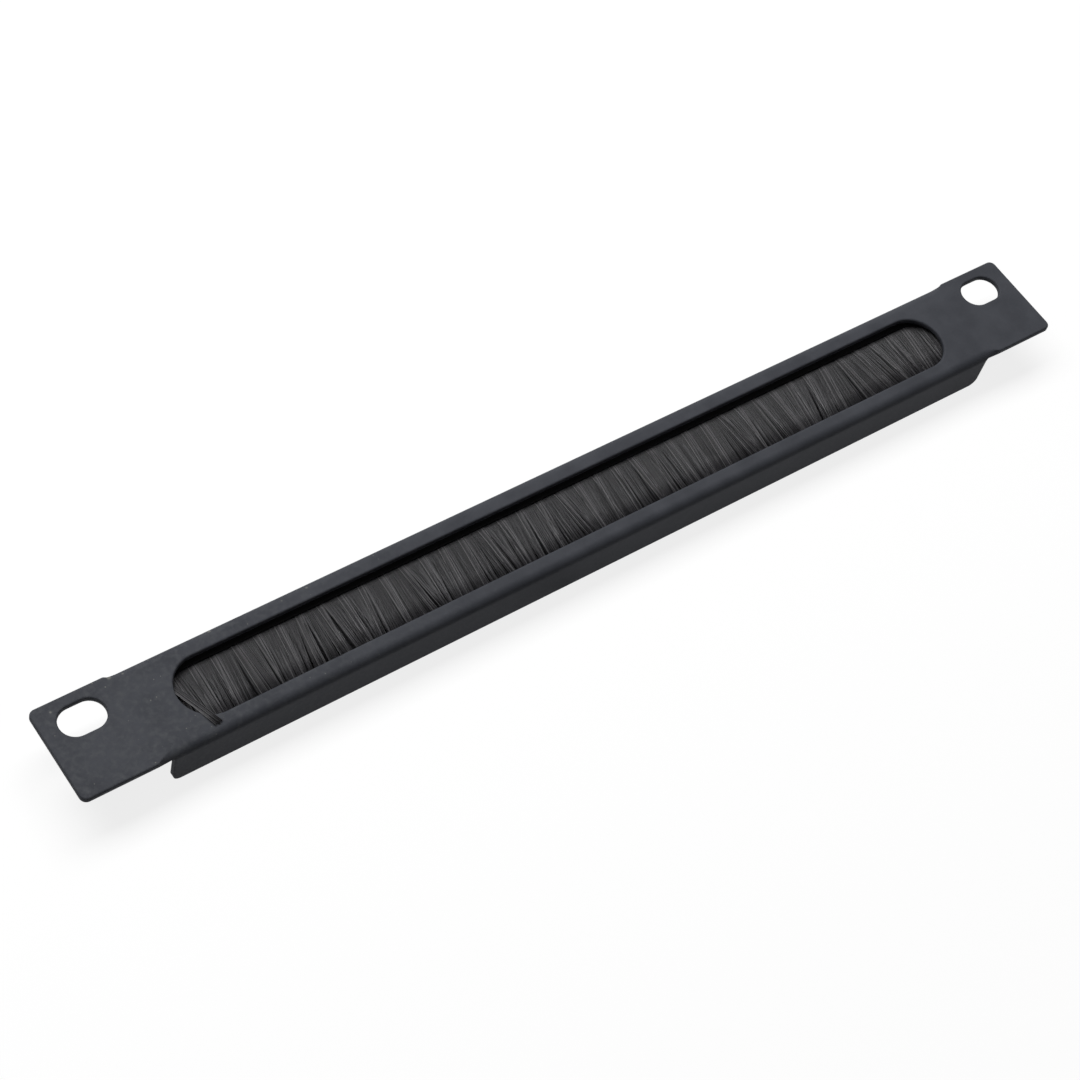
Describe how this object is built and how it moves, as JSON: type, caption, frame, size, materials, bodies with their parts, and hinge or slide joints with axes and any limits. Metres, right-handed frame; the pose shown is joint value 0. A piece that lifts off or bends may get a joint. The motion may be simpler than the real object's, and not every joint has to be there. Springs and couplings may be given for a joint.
{
  "type": "rack brush strip panel",
  "caption": "Narrow folded steel rack panel with slotted ears and a long window closed by a row of black bristles.",
  "frame": {"origin": "under the middle of the panel, on the plane that the edges of the two flanges rest on", "axes": "+X along the panel, +Y towards the edge that carries the slots, +Z out of the front face"},
  "size_m": [0.254, 0.022, 0.0108],
  "materials": {
    "powder_coated_steel": "fine-textured matt black powder coat on sheet steel",
    "blackened_steel": "blackened rolled steel",
    "galvanised_wire": "drawn galvanised steel wire",
    "adhesive_tape": "black acrylic foam tape",
    "nylon_filament": "black drawn nylon filament with a faint sheen"
  },
  "bodies": {
    "root": {"folded_panel": "powder_coated_steel", "brush_holder": "blackened_steel", "core_wire": "galvanised_wire", "bonding_tape": "adhesive_tape", "bristle_lock_01": "nylon_filament", "bristle_lock_02": "nylon_filament", "bristle_lock_03": "nylon_filament", "bristle_lock_04": "nylon_filament", "bristle_lock_05": "nylon_filament", "bristle_lock_06": "nylon_filament", "bristle_lock_07": "nylon_filament", "bristle_lock_08": "nylon_filament", "bristle_lock_09": "nylon_filament", "bristle_lock_10": "nylon_filament", "bristle_lock_11": "nylon_filament", "bristle_lock_12": "nylon_filament", "bristle_lock_13": "nylon_filament", "bristle_lock_14": "nylon_filament", "bristle_lock_15": "nylon_filament", "bristle_lock_16": "nylon_filament", "bristle_lock_17": "nylon_filament", "bristle_lock_18": "nylon_filament", "bristle_lock_19": "nylon_filament", "bristle_lock_20": "nylon_filament", "bristle_lock_21": "nylon_filament", "bristle_lock_22": "nylon_filament", "bristle_lock_23": "nylon_filament", "bristle_lock_24": "nylon_filament", "bristle_lock_25": "nylon_filament", "bristle_lock_26": "nylon_filament", "bristle_lock_27": "nylon_filament", "bristle_lock_28": "nylon_filament", "bristle_lock_29": "nylon_filament", "bristle_lock_30": "nylon_filament", "bristle_lock_31": "nylon_filament", "bristle_lock_32": "nylon_filament", "bristle_lock_33": "nylon_filament", "bristle_lock_34": "nylon_filament", "bristle_lock_35": "nylon_filament", "bristle_lock_36": "nylon_filament", "bristle_lock_37": "nylon_filament", "bristle_lock_38": "nylon_filament", "bristle_lock_39": "nylon_filament", "bristle_lock_40": "nylon_filament", "bristle_lock_41": "nylon_filament", "bristle_lock_42": "nylon_filament"}
  },
  "joints": []
}
